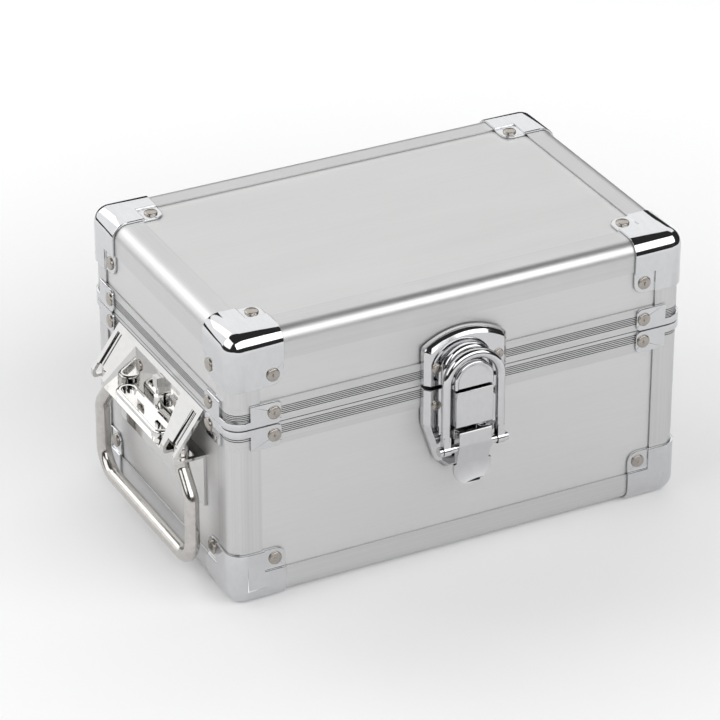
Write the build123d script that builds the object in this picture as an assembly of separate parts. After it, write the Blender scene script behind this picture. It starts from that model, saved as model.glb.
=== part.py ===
from build123d import *
import math
import os

# Small aluminium tool case with a 1/4 inch drive socket set. Millimetres.
# X runs along the front (the carrying handle is at the -X end), Y from the front (the latch)
# to the back (the hinges), Z up. The origin is the middle of the underside.

# ---- driving dimensions -------------------------------------------------------------------
CASE_W = 200.0  # over the corner caps, along X
CASE_D = 130.0  # over the corner caps, along Y
CASE_H = 119.0  # over the corner caps, along Z
CAP_T = 1.0  # sheet of the corner caps and band clips
SKIN_T = 0.8  # outer lip of an edge profile, over the panel
PANEL_T = 1.2  # panel sheet
FLANGE_T = 1.0  # inner lip of an edge profile, behind the panel
LEG = 12.5  # width of an edge profile's two legs
EDGE_R = 6.0  # outer radius of the edge profiles
SLOT_AT = 8.0  # the panel's edge, from the outer corner
SPLIT_Z = 79.0  # the parting line of lid and base
PART_GAP = 0.15  # half the gap between the two rims
BAND_H = 9.7  # height of each rim band
CAP_REACH = 23.4  # how far a corner cap reaches along each edge
STEP_IN = 14.3  # where a cap's lobe steps down onto the panel, from the outer corner
RIVET_IN = 18.9  # corner rivets, from the two nearest edges
RIVET_R = 2.75
RIVET_H = 1.1
SHANK_R = 1.5

SHELL_X = CASE_W / 2 - CAP_T  # outer faces of the edge profiles
SHELL_Y = CASE_D / 2 - CAP_T
SHELL_LOW = CAP_T
SHELL_TOP = CASE_H - CAP_T
WALL_T = SKIN_T + PANEL_T + FLANGE_T
PANEL_X = SHELL_X - SKIN_T  # outer faces of the panels
PANEL_Y = SHELL_Y - SKIN_T
LID_LOW = SPLIT_Z + PART_GAP
BASE_TOP = SPLIT_Z - PART_GAP
LID_BAND_TOP = SPLIT_Z + BAND_H
BASE_BAND_LOW = SPLIT_Z - BAND_H
BAND_SEAT = 2.0  # how deep a panel sits in a rim band

# hinges
HINGE_X = 60.0
HINGE_W = 30.0
LEAF_T = 1.2
LEAF_H = 20.0
KNUCKLE_R = 3.0
HINGE_PIN_R = 1.5
HINGE_Y = SHELL_Y + KNUCKLE_R

# latch; places are (y, z), and the faces that look forward are given by their y
LATCH_W = 36.0
LATCH_BACK_Y = -SHELL_Y
LATCH_FACE_Y = -68.7  # front of the two plates, which are pressed as shallow pans
LATCH_T = LATCH_BACK_Y - LATCH_FACE_Y
LATCH_SHEET = 1.2
LATCH_UPRIGHT = 2.6  # height of each pan's upright rim, below its sloped edge
LATCH_SLOPE = 43.6  # degrees
LATCH_CORNER_R = 2.5
KEEPER_LOW = 80.3
KEEPER_SHOULDER = 95.6
KEEPER_TOP = 101.4
PLATE_TOP = SPLIT_Z - PART_GAP - 0.4
PLATE_TAPER_Z = 62.5  # below this height the base pan narrows
PLATE_SHOULDER = (12.4, 45.2)
PLATE_TOE = (8.5, 41.5)
PAN_SPARE = 8.0  # a pan's outline runs on past the parting line and is cut there
LATCH_RIVET_X = 13.6
KEEPER_RIVET_Z = 87.8
PLATE_RIVET_Z = 71.6
DOME_Y = -70.6  # front of the keeper's dome
DOME_HALF = 11.3
DOME_Z = 84.4
HOOK_Y = -71.45  # front of the hook, just behind the loop
HOOK_HALF = 8.7
HOOK_Z = 81.9
TONGUE_Y = -75.4  # front of the flat below the hook
TONGUE_HALF = 8.1
TONGUE_LOW = 62.9
LEVER_AXIS = (-73.4, 58.2)
LEVER_Y = -76.5  # front of the lever
LEVER_TOP = 61.0
LEVER_BEND = 55.0  # below this height the lever leans in towards its tab
LEVER_LOW = (-73.6, 44.6)  # its lower edge
LEVER_HALF = 7.1
LOOP_AXIS = (-73.7, 53.3)
LOOP_Y = -73.7
LOOP_R = 1.85
LOOP_HALF = 11.9
LOOP_ARCH_Z = 81.7  # centre of the loop's half-round top
EYE_R = 2.3
PIN_R = 0.9
RUN_CLEAR = 0.05  # radial clearance of every running pin
EAR_X = 4.9  # the base plate's two ears, which carry the lever's pin
EAR_T = 1.2
EAR_R = 1.6
TAB_HALF = 8.2
TAB_LOW = 35.4
DISH_R = 22.0  # the finger tab is a shallow dish
DISH_CENTRE = (0, -94.4, 42.6)

# carrying handle
BRACKET_HALF = 39.5
BRACKET_LOW = 34.0
SHEET = 1.2
NOSE_X = -112.0
NOSE_Z = 58.5
SHELF_Z = 55.4
BAIL_AXIS = (-106.2, 59.0)  # x, z
BAIL_R = 3.0
BAIL_HALF = 42.5
BAIL_LOW = 11.0
TRUNNION_R = 2.1
CHANNEL_Y = 35.0  # the pressed channel in each end of the sloping wall
CHANNEL_R = 3.4
CHANNEL_DEEP = 0.6

# contents
DRIVE = 6.35  # 1/4 inch square
FOAM_LOW = 4.3
FOAM_TOP = 56.0
FOAM_X = SHELL_X - WALL_T - 0.5
FOAM_Y = SHELL_Y - WALL_T - 0.5
FOAM_CUT = 2.0  # bevel that clears the round of the edge profiles
TOOL_Z = 54.0  # axis height of the tools that lie down
RATCHET_Y = 36.0
HEAD_X = 62.0
PAWL_X = 48.5
BAR_Y = 6.0
SPINNER_Y = -20.0
SOCKET_Y = -45.0
SOCKET_SIZES = (6, 7, 8, 9, 10, 11, 12, 13)
SOCKET_PITCH = 22.0
SOCKET_H = 25.0
SOCKET_FLOOR = 44.0

CORNERS = [(sx, sy) for sx in (-1, 1) for sy in (-1, 1)]


# ---- small helpers ------------------------------------------------------------------------
def block(x0, x1, y0, y1, z0, z1):
    size = (abs(x1 - x0), abs(y1 - y0), abs(z1 - z0))
    return Pos((x0 + x1) / 2, (y0 + y1) / 2, (z0 + z1) / 2) * Box(*size)


def rod(start, end, radius):
    """A cylinder from start to end."""
    a = Vector(*start)
    b = Vector(*end)
    way = b - a
    place = Plane(origin=a, z_dir=way)
    return extrude(place * Circle(radius), way.length)


def slab(outline, plane, depth):
    """A closed outline of 2-D points on a plane, extruded along the plane's normal."""
    face = make_face(plane * Polyline(*outline, close=True))
    return extrude(face, depth, dir=plane.z_dir)


def across_y(outline, half):
    """An XZ outline extruded to both sides of y = 0."""
    return slab(outline, Plane((0, half, 0), x_dir=(1, 0, 0), z_dir=(0, -1, 0)), 2 * half)


def across_x(outline, half, middle=0.0):
    """A YZ outline extruded to both sides of x = middle."""
    return slab(outline, Plane.YZ.offset(middle - half), 2 * half)


def rounded_prism(half_x, half_y, radius, z0, z1):
    shape = RectangleRounded(2 * half_x, 2 * half_y, radius)
    return extrude(Plane.XY.offset(z0) * shape, z1 - z0)


def ring(outer_inset, inner_inset, z0, z1):
    """An upright wall that follows the case's rounded outline, between two insets from it."""
    outer = rounded_prism(SHELL_X - outer_inset, SHELL_Y - outer_inset, EDGE_R - outer_inset, z0, z1)
    inner = rounded_prism(SHELL_X - inner_inset, SHELL_Y - inner_inset, EDGE_R - inner_inset,
                          z0 - 1, z1 + 1)
    return outer - inner


def pick(shape, test):
    return [edge for edge in shape.edges() if test(edge)]


def as_one(shapes):
    """Several separate solids as one compound."""
    solids = [solid for shape in shapes for solid in shape.solids()]
    return Compound(children=solids)


def write(name, shape):
    shape.label = name
    export_step(shape, f"parts/{name}.step")


# ---- shell --------------------------------------------------------------------------------
def edge_section():
    """Section of an edge profile: u and v run inwards from the two outer faces."""
    r = EDGE_R
    low = SKIN_T + PANEL_T
    bend = 1 - math.sqrt(0.5)
    inner_r = r - WALL_T
    lines = [
        Polyline((LEG, 0), (r, 0)),
        ThreePointArc((r, 0), (r * bend, r * bend), (0, r)),
        Polyline((0, r), (0, LEG), (SKIN_T, LEG), (SKIN_T, SLOT_AT), (low, SLOT_AT), (low, LEG),
                 (WALL_T, LEG), (WALL_T, r)),
        ThreePointArc((WALL_T, r), (WALL_T + inner_r * bend, WALL_T + inner_r * bend), (r, WALL_T)),
        Polyline((r, WALL_T), (LEG, WALL_T), (LEG, low), (SLOT_AT, low), (SLOT_AT, SKIN_T),
                 (LEG, SKIN_T), (LEG, 0)),
    ]
    outline = Curve()
    for line in lines:
        outline += line
    return make_face(outline)


def profile(corner, u_dir, length_dir, length):
    """An edge profile that starts at a corner point; its first leg runs along u_dir."""
    place = Plane(origin=corner, x_dir=u_dir, z_dir=length_dir)
    return extrude(place * edge_section(), length)


def long_profile(start, along, inward_a, inward_b, length):
    """A profile whose legs run along the two inward directions."""
    a = Vector(*inward_a)
    b = Vector(*inward_b)
    way = Vector(*along)
    if a.cross(b).dot(way) > 0:
        return profile(Vector(*start), a, way, length)
    return profile(Vector(*start), b, way, length)


def horizontal_profiles(z, inward_z):
    reach_x = SHELL_X - LEG
    reach_y = SHELL_Y - LEG
    made = {}
    for name, side in (("front", -1), ("back", 1)):
        start = (-reach_x, side * SHELL_Y, z)
        made[name] = long_profile(start, (1, 0, 0), (0, -side, 0), (0, 0, inward_z), 2 * reach_x)
    for name, side in (("left", -1), ("right", 1)):
        start = (side * SHELL_X, -reach_y, z)
        made[name] = long_profile(start, (0, 1, 0), (-side, 0, 0), (0, 0, inward_z), 2 * reach_y)
    return made


def corner_posts(z0, z1):
    posts = []
    for sx, sy in CORNERS:
        start = (sx * SHELL_X, sy * SHELL_Y, z0)
        posts.append(long_profile(start, (0, 0, 1), (-sx, 0, 0), (0, -sy, 0), z1 - z0))
    return posts


def side_panels(z0, z1):
    """Front, back, left and right panels between the posts."""
    half_x = SHELL_X - SLOT_AT
    half_y = SHELL_Y - SLOT_AT
    return {
        "front": block(-half_x, half_x, -PANEL_Y, -PANEL_Y + PANEL_T, z0, z1),
        "back": block(-half_x, half_x, PANEL_Y - PANEL_T, PANEL_Y, z0, z1),
        "left": block(-PANEL_X, -PANEL_X + PANEL_T, -half_y, half_y, z0, z1),
        "right": block(PANEL_X - PANEL_T, PANEL_X, -half_y, half_y, z0, z1),
    }


RIB_DEPTH = 0.45
RIB_WIDTH = 0.36
RIB_COUNT = 5
LID_RIBS = (82.2, 85.3)  # heights of the lowest and highest rib of each band
BASE_RIBS = (73.9, 77.2)
TONGUE_IN = 1.6  # the base rim's tongue, which enters the lid's rim
TONGUE_H = 2.3


def rim_band(z0, z1, ribs, seat_low, seat_high):
    """A rim extrusion: fine ribs outside, a slot along one edge that holds the panels."""
    band = ring(0, WALL_T, z0, z1)
    band -= ring(SKIN_T, SKIN_T + PANEL_T, seat_low, seat_high)
    pitch = (ribs[1] - ribs[0]) / (RIB_COUNT - 1)
    for i in range(RIB_COUNT):
        middle = ribs[0] + i * pitch
        band -= ring(-0.5, RIB_DEPTH, middle - RIB_WIDTH / 2, middle + RIB_WIDTH / 2)
    return band


def corner_cap(sx, sy, top):
    """A pressed cap over one corner of the case: three lobes, each stepped down onto its panel."""
    reach = CAP_REACH
    r = EDGE_R + CAP_T
    big = 3 * reach
    solid = Pos(-big / 2, -big / 2, -big / 2) * Box(big, big, big)
    near = pick(solid, lambda e: (e @ 0.5).X > -0.1 and (e @ 0.5).Y > -0.1
                or (e @ 0.5).X > -0.1 and (e @ 0.5).Z > -0.1
                or (e @ 0.5).Y > -0.1 and (e @ 0.5).Z > -0.1)
    outer = fillet(near, r)
    small = Pos(-big / 2 - CAP_T, -big / 2 - CAP_T, -big / 2 - CAP_T) * Box(big, big, big)
    edge = -CAP_T - 0.1
    near = pick(small, lambda e: (e @ 0.5).X > edge and (e @ 0.5).Y > edge
                or (e @ 0.5).X > edge and (e @ 0.5).Z > edge
                or (e @ 0.5).Y > edge and (e @ 0.5).Z > edge)
    inner = fillet(near, EDGE_R)
    limit = Pos(-reach / 2, -reach / 2, -reach / 2) * Box(reach, reach, reach)
    far = -reach + 0.1
    tips = pick(limit, lambda e: (e @ 0.5).X < far and (e @ 0.5).Y < far
                or (e @ 0.5).X < far and (e @ 0.5).Z < far
                or (e @ 0.5).Y < far and (e @ 0.5).Z < far)
    limit = fillet(tips, reach - RIVET_IN)
    cap = (outer - inner) & limit
    low = -CAP_T - SKIN_T
    for turn in (Plane.XY, Plane.YZ, Plane.ZX):
        sunk = block(STEP_IN, reach + 1, STEP_IN, reach + 1, -SKIN_T, 1.0)
        seat = block(STEP_IN - 0.8, reach + 1, STEP_IN - 0.8, reach + 1, low, -CAP_T)
        cap -= turn * mirror(mirror(sunk, Plane.YZ), Plane.XZ)
        cap += (turn * mirror(mirror(seat, Plane.YZ), Plane.XZ)) & limit
    if not top:
        cap = mirror(cap, Plane.XY)
    if sx < 0:
        cap = mirror(cap, Plane.YZ)
    if sy < 0:
        cap = mirror(cap, Plane.XZ)
    return Pos(sx * CASE_W / 2, sy * CASE_D / 2, CASE_H if top else 0) * cap


CLIP_OUTER = 22.0  # far edge of a band clip's lobe, from the case's corner
CLIP_INNER = 9.0  # where the lobe narrows to the strip round the corner
CLIP_STRIP = 3.2
CLIP_LOBE_R = 2.2
LID_CLIP_RIVET_Z = 84.1
BASE_CLIP_RIVET_Z = 74.3


def band_clip(sx, sy, z0, z1, strip_low, strip_high):
    """A clip round one corner of a rim band: two riveted lobes joined by a narrow strip."""
    wall = ring(-CAP_T, 0, z0, z1)
    far_x = sx * (CASE_W / 2 - CLIP_OUTER)
    far_y = sy * (CASE_D / 2 - CLIP_OUTER)
    keep = block(far_x, sx * CASE_W, far_y, sy * CASE_D, z0, z1)
    ends = pick(keep, lambda e: abs((e @ 0.5).Z - (z0 + z1) / 2) > 1
                and (abs((e @ 0.5).X - far_x) < 0.01 or abs((e @ 0.5).Y - far_y) < 0.01))
    wall &= fillet(ends, CLIP_LOBE_R)
    window_x = sx * (CASE_W / 2 - CLIP_INNER)
    window_y = sy * (CASE_D / 2 - CLIP_INNER)
    gap_low, gap_high = (strip_high, z1 + 1) if strip_low <= z0 else (z0 - 1, strip_low)
    wall -= block(window_x, sx * CASE_W, sy * 0, sy * CASE_D, gap_low, gap_high) & block(
        sx * 0, sx * CASE_W, window_y, sy * CASE_D, gap_low, gap_high)
    return wall


def rivet(at, out, radius=RIVET_R, height=RIVET_H, shank=3.0):
    """A rivet with a low crowned head that stands on the point; its shank runs inwards."""
    place = Plane(origin=at, z_dir=out)
    ball = 3.2 * radius
    crown = place * (Pos(0, 0, height - ball) * Sphere(ball))
    head = rod(at, tuple(Vector(*at) + Vector(*out) * (height + 1)), radius) & crown
    rings = [edge for edge in head.edges() if edge.is_closed]
    rim = max(rings, key=lambda edge: (edge @ 0 - Vector(*at)).dot(Vector(*out)))
    head = fillet([rim], 0.5 * height)
    inward = Vector(*at) - Vector(*out) * shank
    return head + rod(at, tuple(inward), radius * SHANK_R / RIVET_R)


def flush_rivet(at, out, shank=3.0):
    """A flat-headed rivet that lies level with the sheet."""
    seat = Vector(*at) - Vector(*out) * CAP_T
    head = extrude(Plane(origin=seat, z_dir=out) * Circle(RIVET_R), CAP_T)
    inward = Vector(*at) - Vector(*out) * shank
    return head + rod(tuple(seat), tuple(inward), SHANK_R)


def corner_rivets(z_face, z_side, z_band, top):
    """The rivets of four caps and four band clips of one half of the case."""
    made = []
    for sx, sy in CORNERS:
        x = sx * (CASE_W / 2 - RIVET_IN)
        y = sy * (CASE_D / 2 - RIVET_IN)
        if top:
            made.append(rivet((x, y, z_face - SKIN_T), (0, 0, 1)))
        else:
            made.append(flush_rivet((x, y, z_face + SKIN_T), (0, 0, -1)))
        for z, sunk in ((z_side, SKIN_T), (z_band, 0.0)):
            made.append(rivet((x, sy * (CASE_D / 2 - sunk), z), (0, sy, 0)))
            made.append(rivet((sx * (CASE_W / 2 - sunk), y, z), (sx, 0, 0)))
    return made


# ---- hinges -------------------------------------------------------------------------------
LEAF_RIVET_R = 2.0


def knuckle(x, x0, x1, bore):
    tube = rod((x + x0, HINGE_Y, SPLIT_Z), (x + x1, HINGE_Y, SPLIT_Z), KNUCKLE_R)
    return tube - rod((x + x0 - 1, HINGE_Y, SPLIT_Z), (x + x1 + 1, HINGE_Y, SPLIT_Z), bore)


def hinge_leaf(x, side):
    """side +1 is the lid's leaf with the middle knuckle, -1 the base's with the outer two."""
    half = HINGE_W / 2
    third = HINGE_W / 6
    z_far = SPLIT_Z + side * LEAF_H
    z_near = SPLIT_Z + side * (KNUCKLE_R + 0.4)
    leaf = block(x - half, x + half, SHELL_Y, SHELL_Y + LEAF_T, z_near, z_far)
    corners = pick(leaf, lambda e: abs((e @ 0.5).Z - z_far) < 0.1 and abs(abs((e @ 0.5).X - x) - half) < 0.1)
    leaf = fillet(corners, 3.0)
    spans = [(-third + 0.2, third - 0.2)] if side > 0 else [(-half, -third), (third, half)]
    bore = HINGE_PIN_R + RUN_CLEAR if side > 0 else HINGE_PIN_R
    for x0, x1 in spans:
        neck = block(x + x0, x + x1, SHELL_Y, SHELL_Y + LEAF_T, SPLIT_Z, z_near)
        hole = rod((x + x0 - 1, HINGE_Y, SPLIT_Z), (x + x1 + 1, HINGE_Y, SPLIT_Z), bore)
        leaf += (neck - hole) + knuckle(x, x0, x1, bore)
    return leaf


def leaf_rivets(side):
    z = SPLIT_Z + side * 14.0
    at_y = SHELL_Y + LEAF_T
    return [rivet((hx + dx, at_y, z), (0, 1, 0), LEAF_RIVET_R, 0.9, shank=3.4)
            for hx in (-HINGE_X, HINGE_X) for dx in (-9.0, 9.0)]


def hinge_pins():
    pins = []
    for hx in (-HINGE_X, HINGE_X):
        ends = [(hx + s * (HINGE_W / 2 + 0.6), HINGE_Y, SPLIT_Z) for s in (-1, 1)]
        pin = rod(*ends, HINGE_PIN_R)
        for s in (-1, 1):
            head = hx + s * HINGE_W / 2
            pin += rod((head, HINGE_Y, SPLIT_Z), (head + s * 0.9, HINGE_Y, SPLIT_Z), 2.3)
        pins.append(pin)
    return pins


# ---- latch --------------------------------------------------------------------------------
def half_round_top(half, z_low, z_mid, back, thick):
    """A plate with straight sides and a half-round top, standing in front of y = back."""
    low = block(-half, half, back - thick, back, z_low, z_mid)
    disc = rod((0, back, z_mid), (0, back - thick, z_mid), half)
    return low + (disc - block(-half - 1, half + 1, back - thick - 1, back + 1, z_low - 3 * half, z_low))


def raised(outline, height):
    """An XZ face that stands in front of the case with an upright rim and a sloped edge."""
    rim = extrude(outline, LATCH_UPRIGHT, dir=(0, -1, 0))
    front = Pos(0, -LATCH_UPRIGHT, 0) * outline
    return rim + extrude(front, height - LATCH_UPRIGHT, dir=(0, -1, 0), taper=LATCH_SLOPE)


def pan(lines, z_cut, side):
    """A shallow pressed pan, open along the case's parting line, where it ends at z_cut."""
    plane = Plane((0, LATCH_BACK_Y, 0), x_dir=(1, 0, 0), z_dir=(0, -1, 0))
    outline = make_face(plane * Curve(children=lines))
    outline = fillet(outline.vertices(), LATCH_CORNER_R)
    outer = raised(outline, LATCH_T)
    inner = raised(offset(outline, -LATCH_SHEET), LATCH_T - LATCH_SHEET)
    beyond = block(-20, 20, -80, -60, z_cut, z_cut + side * 20)
    return outer - inner - beyond


def latch_keeper():
    """Lid pan with a pressed dome and the hook that stands in front of it."""
    half = LATCH_W / 2
    shoulder = KEEPER_SHOULDER
    low = KEEPER_LOW
    foot = low - PAN_SPARE
    arch = ThreePointArc((half, shoulder), (0, KEEPER_TOP), (-half, shoulder))
    sides = Polyline((-half, shoulder), (-half, foot), (half, foot), (half, shoulder))
    keeper = pan([arch, sides], low, -1)
    dome = half_round_top(DOME_HALF, low, DOME_Z, LATCH_FACE_Y, LATCH_FACE_Y - DOME_Y)
    front = pick(dome, lambda e: abs((e @ 0.5).Y - DOME_Y) < 0.01 and (e @ 0.5).Z > low + 0.1)
    dome = fillet(front, 1.6)
    low_hook = SPLIT_Z + 0.3
    hook = half_round_top(HOOK_HALF, low_hook, HOOK_Z, LATCH_FACE_Y, LATCH_FACE_Y - HOOK_Y)
    front = pick(hook, lambda e: abs((e @ 0.5).Y - HOOK_Y) < 0.01 and (e @ 0.5).Z > low_hook + 0.1)
    hook = fillet(front, 0.6)
    return keeper + dome + hook


def latch_base():
    """Base pan with a box-like tongue below the hook and two ears for the lever's pin."""
    half = LATCH_W / 2
    top = PLATE_TOP
    right = [(half, top + PAN_SPARE), (half, PLATE_TAPER_Z), PLATE_SHOULDER, PLATE_TOE]
    left = [(-x, z) for x, z in reversed(right)]
    base = pan([Polyline(*right, *left, close=True)], top, 1)
    tongue = block(-TONGUE_HALF, TONGUE_HALF, TONGUE_Y, LATCH_FACE_Y, TONGUE_LOW, top)
    rims = pick(tongue, lambda e: abs((e @ 0.5).Y - TONGUE_Y) < 0.01)
    tongue = fillet(rims, 0.5)
    inner = TONGUE_HALF - LATCH_SHEET
    tongue -= block(-inner, inner, TONGUE_Y + LATCH_SHEET, LATCH_FACE_Y + 1, TONGUE_LOW - 1,
                    top - LATCH_SHEET)
    base += tongue
    y, z = LEVER_AXIS
    root = [(y, z + EAR_R), (LATCH_FACE_Y, z + 0.4), (LATCH_FACE_Y, z - 3.5), (y, z - EAR_R)]
    for side in (-1, 1):
        base += across_x(root, EAR_T / 2, side * EAR_X)
        base += rod((side * EAR_X - EAR_T / 2, y, z), (side * EAR_X + EAR_T / 2, y, z), EAR_R)
    return base - rod((-TONGUE_HALF, y, z), (TONGUE_HALF, y, z), PIN_R)


def latch_lever():
    """Lever with side flanges that leans in to a dished, half-round finger tab."""
    y, z = LEVER_AXIS
    low_y, low_z = LEVER_LOW
    back = LEVER_Y + LATCH_SHEET
    plate = across_x([(LEVER_Y, LEVER_TOP), (LEVER_Y, LEVER_BEND), LEVER_LOW, (low_y + LATCH_SHEET, low_z),
                      (back, LEVER_BEND), (back, LEVER_TOP)], LEVER_HALF)
    rims = pick(plate, lambda e: (e @ 0.5).Y < LEVER_Y + 0.01 and abs((e @ 0.5).Z - LEVER_BEND) > 1)
    lever = fillet(rims, 0.5)
    inside = LEVER_Y + 0.6
    flange = [(inside, LEVER_BEND), (inside, LEVER_TOP - 0.6), (y - 1.0, LEVER_TOP - 0.6),
              (y + 1.5, z + 1.0), (y + 1.5, 51.6), (low_y + 1.0, low_z + 2.0),
              (low_y + 0.2, low_z + 2.0)]
    for side in (-1, 1):
        lever += across_x(flange, LATCH_SHEET / 2, side * (LEVER_HALF - LATCH_SHEET / 2))
    lever -= rod((-10, y, z), (10, y, z), PIN_R + RUN_CLEAR)
    lever -= rod((-10, *LOOP_AXIS), (10, *LOOP_AXIS), PIN_R)
    crease = LEVER_LOW[1] + 1.2
    ball = Pos(*DISH_CENTRE) * Sphere(DISH_R) & block(-20, 20, -80, -60, TAB_LOW - 5, crease)
    dish = Pos(*DISH_CENTRE) * Sphere(DISH_R + LATCH_SHEET) & half_round_tab()
    return lever + dish - ball


def half_round_tab():
    """The room of the finger tab: straight for a little, then half-round at the bottom."""
    mid = TAB_LOW + TAB_HALF
    straight = block(-TAB_HALF, TAB_HALF, -76.0, -70.0, mid, LEVER_LOW[1] + 1.2)
    disc = rod((0, -76.0, mid), (0, -70.0, mid), TAB_HALF)
    return straight + (disc - block(-20, 20, -82, -60, mid, 80))


def latch_loop():
    """Wire loop that draws the lid down: two legs with flattened eyes and a half-round top."""
    y, z = LOOP_AXIS
    foot = z + EYE_R + 2.0
    low_left = (-LOOP_HALF, LOOP_Y, foot)
    low_right = (LOOP_HALF, LOOP_Y, foot)
    left = (-LOOP_HALF, LOOP_Y, LOOP_ARCH_Z)
    right = (LOOP_HALF, LOOP_Y, LOOP_ARCH_Z)
    arch = ThreePointArc(left, (0, LOOP_Y, LOOP_ARCH_Z + LOOP_HALF), right)
    path = Wire([Line(low_left, left), arch, Line(right, low_right)])
    start = Plane(origin=low_left, z_dir=(0, 0, 1))
    loop = sweep(start * Circle(LOOP_R), path=path)
    for side in (-1, 1):
        x0 = side * (LOOP_HALF - 1.5)
        x1 = side * (LOOP_HALF + 1.5)
        loop += rod((x0, y, z), (x1, y, z), EYE_R)
        loop += block(x0, x1, LOOP_Y - 1.6, LOOP_Y + 1.6, z, foot + 2.0)
    return loop - rod((-20, y, z), (20, y, z), PIN_R + RUN_CLEAR)


def loop_pin():
    """The pin that joins lever and loop, with a collar and a head at each end."""
    y, z = LOOP_AXIS
    pin = rod((-15.0, y, z), (15.0, y, z), PIN_R)
    for side in (-1, 1):
        pin += rod((side * LEVER_HALF, y, z), (side * (LOOP_HALF - 1.7), y, z), 1.7)
        pin += rod((side * (LOOP_HALF + 1.7), y, z), (side * 15.0, y, z), 1.9)
    return pin


def lever_pin():
    y, z = LEVER_AXIS
    return rod((-LEVER_HALF - 0.3, y, z), (LEVER_HALF + 0.3, y, z), PIN_R)


def latch_rivets(z):
    return [rivet((side * LATCH_RIVET_X, LATCH_FACE_Y, z), (0, -1, 0), 2.0, 1.1, shank=7.0)
            for side in (-1, 1)]


# ---- carrying handle ----------------------------------------------------------------------
def handle_bracket():
    """Pressed channel on the case's end: sloping wall, nose, shelf, flange and a riveted recess."""
    wall_x = -PANEL_X
    rise = (12.4, 17.5)
    slope = rise[1] / rise[0]
    rim_x = -SHELL_X
    top_z = NOSE_Z + (rim_x - NOSE_X) * slope
    inner_nose = (NOSE_X + 1.4, NOSE_Z - 0.4)
    inner_top = inner_nose[1] + (rim_x - inner_nose[0]) * slope
    shelf_top = SHELF_Z + SHEET
    outer = across_y([(wall_x, BRACKET_LOW), (wall_x, shelf_top), (rim_x, shelf_top), (rim_x, top_z),
                      (NOSE_X, NOSE_Z), (NOSE_X, SHELF_Z), (wall_x - SHEET, SHELF_Z),
                      (wall_x - SHEET, BRACKET_LOW)], BRACKET_HALF)
    nose = pick(outer, lambda e: abs((e @ 0.5).X - NOSE_X) < 0.01 and abs((e @ 0).Y - (e @ 1).Y) > 1)
    outer = fillet(nose, 1.5)
    hollow = across_y([(rim_x + 1, shelf_top), (rim_x + 1, inner_top + slope), inner_nose,
                       (inner_nose[0], shelf_top + 0.6), (inner_nose[0] + 0.6, shelf_top)], BRACKET_HALF + 1)
    back = rim_x - SHEET
    far = NOSE_X - 2
    recess = slab([(back, -21), (back, 21), (far, 28), (far, -28)], Plane.XY.offset(shelf_top), 30)
    lining = slab([(rim_x, -21.7), (rim_x, 21.7), (far, 29.4), (far, -29.4)],
                  Plane.XY.offset(shelf_top), 30)
    bracket = (outer - hollow) + (lining & outer)
    bracket -= recess
    boss_x = (back - SHEET + NOSE_X + 1.0) / 2
    boss_place = Pos(boss_x, 0) * Rot(0, 0, 90)
    boss = extrude(Plane.XY.offset(shelf_top) * (boss_place * SlotOverall(42, 9.4)), 3.2)
    rims = pick(boss, lambda e: (e @ 0.5).Z > shelf_top + 3.1)
    boss = fillet(rims, 1.2)
    dish = extrude(Plane.XY.offset(shelf_top + 1.4) * (boss_place * SlotOverall(38, 5.6)), 3)
    bracket += boss - dish
    way = Vector(rise[0], 0, rise[1]).normalized()
    lift = Vector(-way.Z, 0, way.X) * (CHANNEL_R - CHANNEL_DEEP)
    low_end = Vector(NOSE_X, 0, NOSE_Z) + way * 4.0 + lift
    high_end = Vector(rim_x, 0, top_z) - way * 3.0 + lift
    for side in (-1, 1):
        across = Vector(0, side * CHANNEL_Y, 0)
        bracket -= rod(tuple(low_end + across), tuple(high_end + across), CHANNEL_R)
    for side in (-1, 1):
        slot = block(-113, -102.4, side * 29.6, side * 37.8, SHELF_Z - 1, 62.0)
        bracket -= slot
    return bracket


def bracket_clip():
    """Small stepped post on the back of the bracket's recess."""
    y = -5.0
    x = -SHELL_X - SHEET
    post = block(x - 3.6, x, y - 1.9, y + 1.9, 71.2, 75.2)
    neck = block(x - 2.8, x, y - 1.2, y + 1.2, 66.6, 71.2)
    neck -= rod((x - 3, y, 68.6), (x + 1, y, 68.6), 0.7)
    drum = rod((x - 2.0, y, 61.4), (x - 2.0, y, 66.6), 2.0)
    return post + neck + drum


def handle_bail():
    """Round-wire bail: two parallel legs, a straight grip below, ends turned in as pivots."""
    x, z = BAIL_AXIS
    end = 34.3
    bend = (end, z - 8.0)
    knee = (BAIL_HALF, z - 18.0)
    points = []
    for side in (1, -1):
        leg = [(x, side * end, z), (x, side * bend[0], bend[1]), (x, side * knee[0], knee[1]),
               (x, side * BAIL_HALF, BAIL_LOW)]
        points += leg if side > 0 else leg[::-1]
    radii = [0, 5.0, 8.0, 11.0, 11.0, 8.0, 5.0, 0]
    path = FilletPolyline(*points, radius=radii[1:-1])
    start = Plane(origin=points[0], z_dir=(0, 0, -1))
    bail = sweep(start * Circle(BAIL_R), path=path)
    for side in (1, -1):
        bail += Pos(x, side * end, z) * Sphere(BAIL_R)
        bail += rod((x, side * end, z), (x, side * 27.5, z), TRUNNION_R)
    return bail


def bracket_rivets():
    return [rivet((-SHELL_X - SHEET, side * 18.0, 68.0), (-1, 0, 0), 2.4, 1.0, shank=3.4)
            for side in (-1, 1)]


# ---- contents -----------------------------------------------------------------------------
def socket_radius(size):
    return max(size / 2 + 2.8, 5.9)


def socket_places():
    first = -SOCKET_PITCH * (len(SOCKET_SIZES) - 1) / 2
    return [(first + i * SOCKET_PITCH, size) for i, size in enumerate(SOCKET_SIZES)]


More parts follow.
